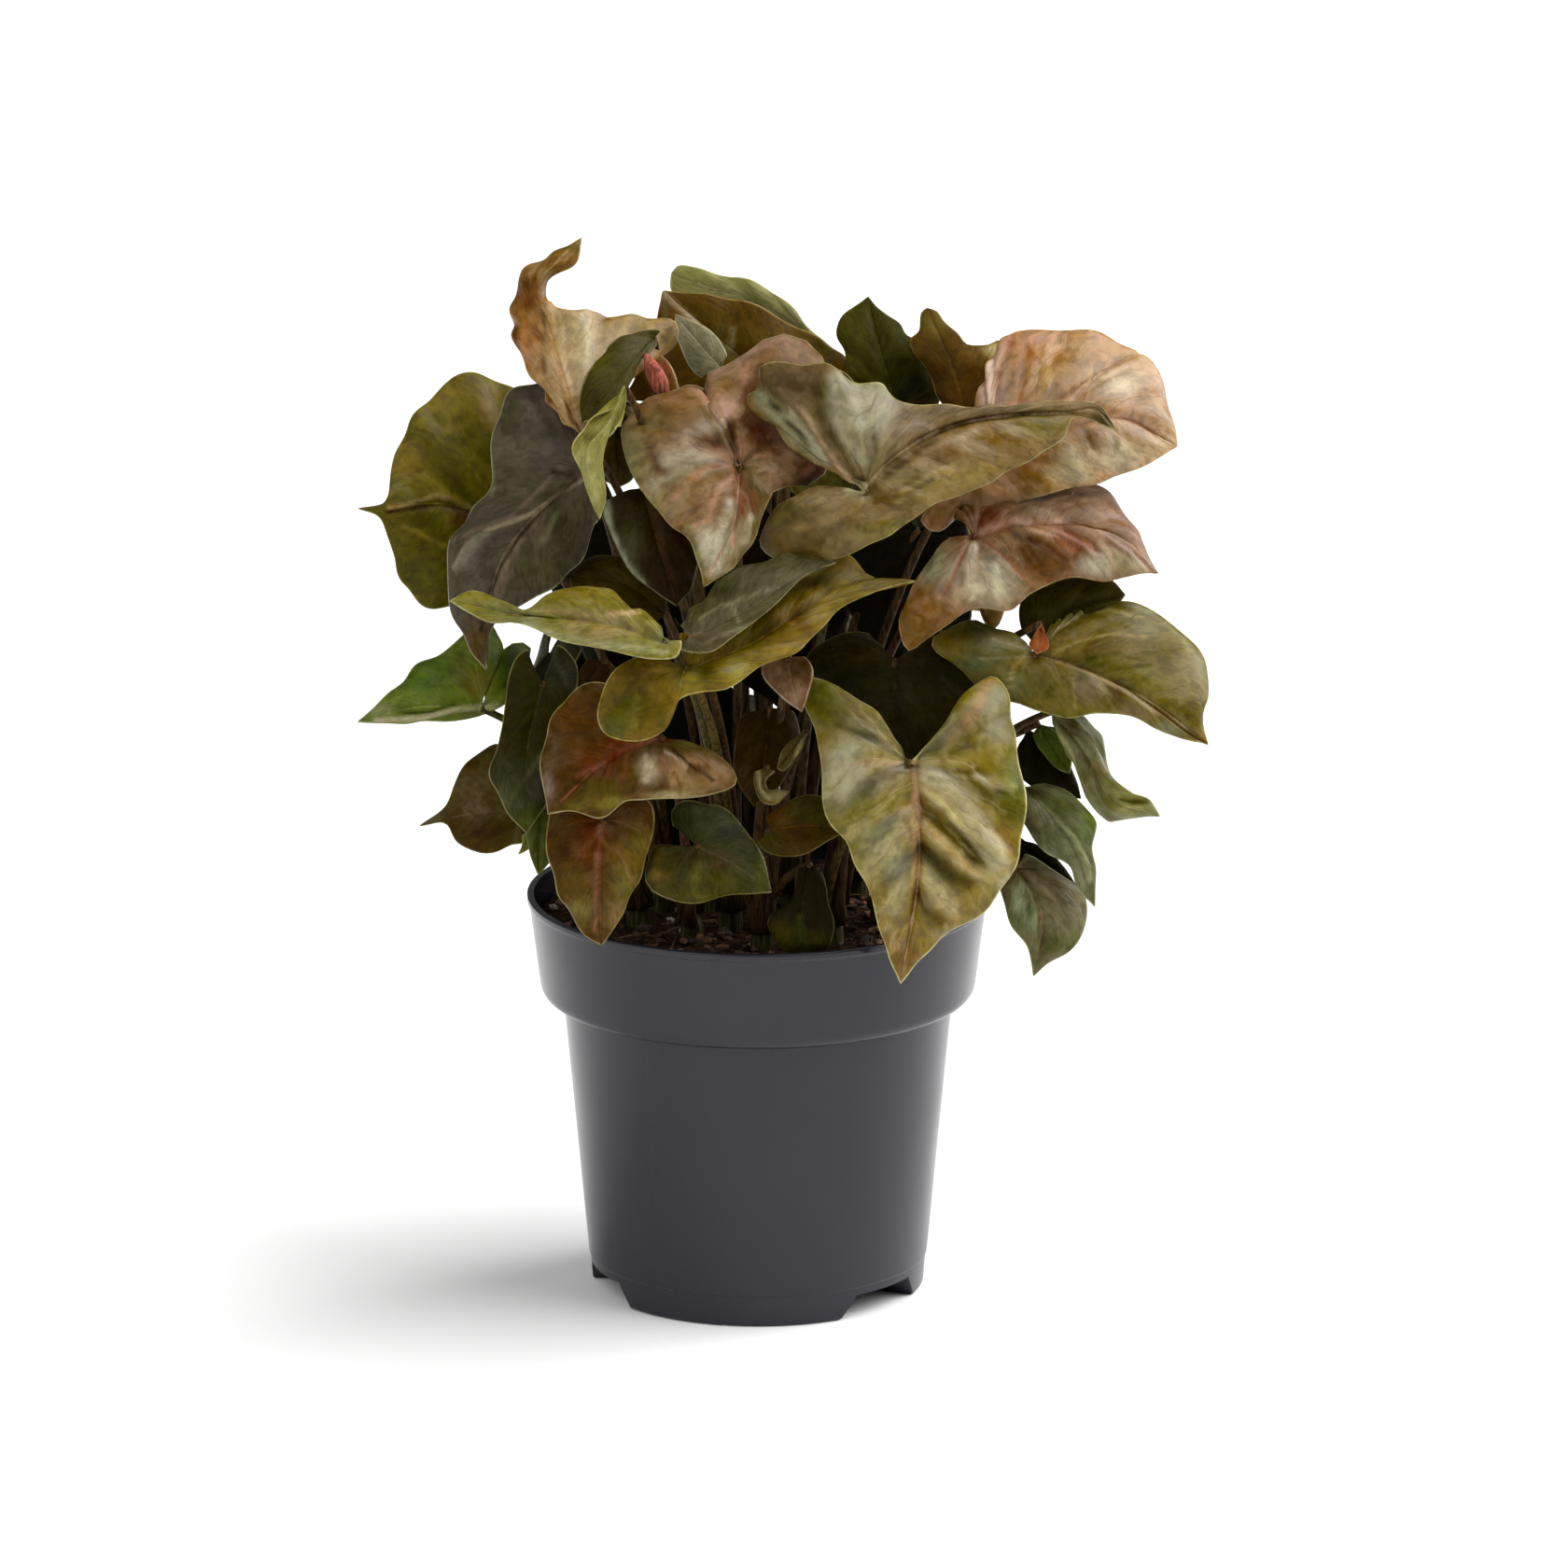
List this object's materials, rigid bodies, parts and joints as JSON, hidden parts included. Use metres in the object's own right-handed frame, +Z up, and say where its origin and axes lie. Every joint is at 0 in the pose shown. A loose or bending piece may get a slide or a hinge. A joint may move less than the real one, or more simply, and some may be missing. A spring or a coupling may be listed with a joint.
{
  "type": "potted plant",
  "caption": "Arrowhead plant with green, bronze and pink leaves on slender stalks, growing in soil in a round dark nursery pot.",
  "frame": {"origin": "middle of the pot's flat base, on the surface it stands on", "axes": "+Z up along the pot's axis, -Y towards the front of the picture, +X to its right"},
  "size_m": [0.2188, 0.1655, 0.2788],
  "materials": {
    "leaf": "living leaf, semi-gloss, olive green marbled with bronze, pink and silver",
    "pot_plastic": "moulded plastic, satin, dark grey",
    "soil": "moist potting compost with pale perlite and fibres, matte"
  },
  "bodies": {
    "root": {"pot": "pot_plastic", "soil": "soil", "plantlet_front_left": "leaf", "plantlet_front": "leaf", "plantlet_front_right": "leaf", "plantlet_left_low": "leaf", "plantlet_left_high": "leaf", "plantlet_middle": "leaf", "plantlet_right_low": "leaf", "plantlet_right_high": "leaf", "plantlet_crown_left": "leaf", "plantlet_crown_right": "leaf", "plantlet_crown_back": "leaf", "plantlet_back_left": "leaf", "plantlet_back": "leaf", "plantlet_back_right": "leaf"}
  },
  "joints": []
}
